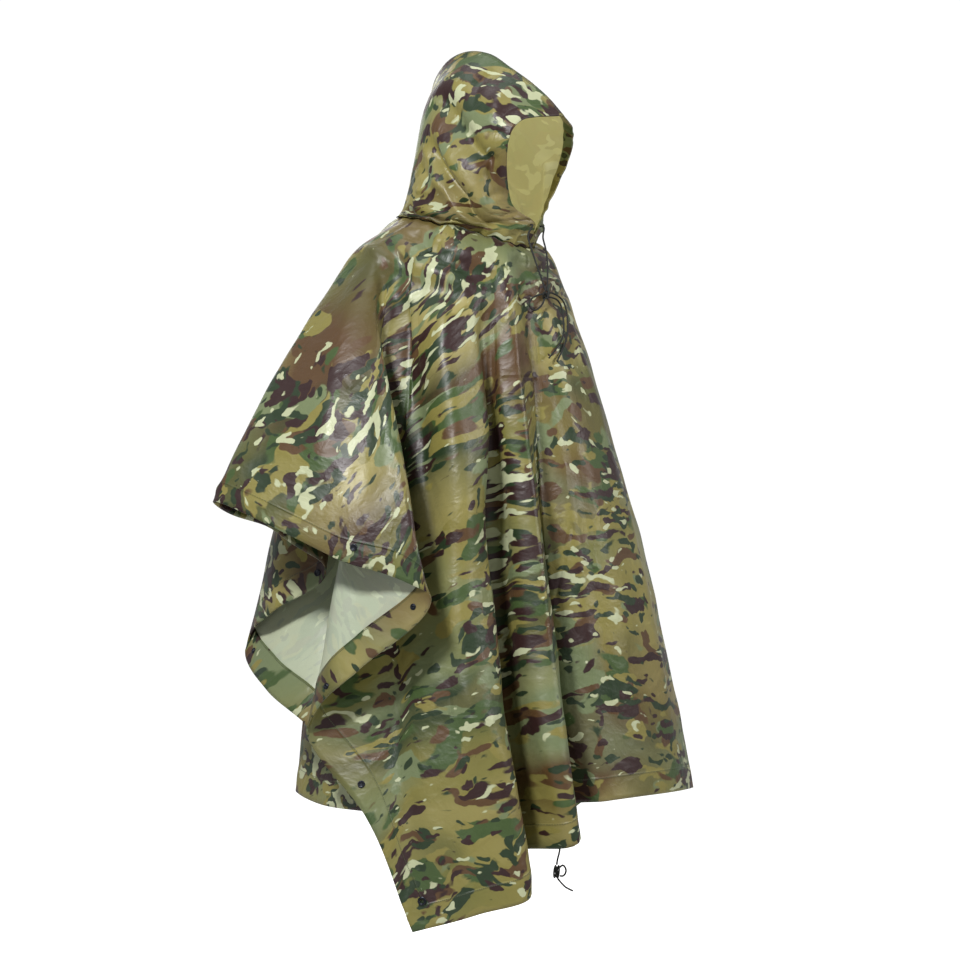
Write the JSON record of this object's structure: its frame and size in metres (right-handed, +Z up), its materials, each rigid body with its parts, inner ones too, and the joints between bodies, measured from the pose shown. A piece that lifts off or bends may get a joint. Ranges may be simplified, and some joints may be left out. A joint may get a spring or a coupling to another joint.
{
  "type": "rain poncho",
  "caption": "Worn rain poncho of coated nylon: a wide pleated sheet with a peaked drawcord hood, turned hems, and ring snaps that close the sides under the arms.",
  "frame": {"origin": "the middle of the neck, where the wearer's shoulders hold the poncho", "axes": "+Z up, -Y to the wearer's front, +X to the wearer's left"},
  "size_m": [0.8858, 0.7399, 1.5336],
  "materials": {
    "cloth": null,
    "hem": "the same printed nylon turned in and stitched",
    "cord": "black braided cord",
    "hardware": "dark painted metal"
  },
  "bodies": {
    "root": {"eyelet_left_back": "hardware", "eyelet_left_front": "hardware", "eyelet_right_back": "hardware", "eyelet_right_front": "hardware", "hem_back": "hem", "hem_front": "hem", "hem_left": "hem", "hem_right": "hem", "hood_cord_knot": "cord", "hood_cord_left": "cord", "hood_cord_loop": "cord", "hood_cord_right": "cord", "hood_cord_tail_1": "cord", "hood_cord_tail_2": "cord", "hood_left": "cloth", "hood_right": "cloth", "hood_rim_fold_left": "hem", "hood_rim_fold_right": "hem", "poncho_sheet": "cloth", "snap_cap_left_back_1": "hardware", "snap_cap_left_back_2": "hardware", "snap_cap_left_back_3": "hardware", "snap_cap_left_back_4": "hardware", "snap_cap_left_front_1": "hardware", "snap_cap_left_front_2": "hardware", "snap_cap_left_front_3": "hardware", "snap_cap_left_front_4": "hardware", "snap_cap_right_back_1": "hardware", "snap_cap_right_back_2": "hardware", "snap_cap_right_back_3": "hardware", "snap_cap_right_back_4": "hardware", "snap_cap_right_front_1": "hardware", "snap_cap_right_front_2": "hardware", "snap_cap_right_front_3": "hardware", "snap_cap_right_front_4": "hardware", "snap_socket_left_back_1": "hardware", "snap_socket_left_back_2": "hardware", "snap_socket_left_back_3": "hardware", "snap_socket_left_back_4": "hardware", "snap_socket_left_front_1": "hardware", "snap_socket_left_front_2": "hardware", "snap_socket_left_front_3": "hardware", "snap_socket_left_front_4": "hardware", "snap_socket_right_back_1": "hardware", "snap_socket_right_back_2": "hardware", "snap_socket_right_back_3": "hardware", "snap_socket_right_back_4": "hardware", "snap_socket_right_front_1": "hardware", "snap_socket_right_front_2": "hardware", "snap_socket_right_front_3": "hardware", "snap_socket_right_front_4": "hardware", "waist_cord": "cord", "waist_cord_knot": "cord", "waist_cord_loop": "cord", "waist_cord_tail": "cord"}
  },
  "joints": []
}
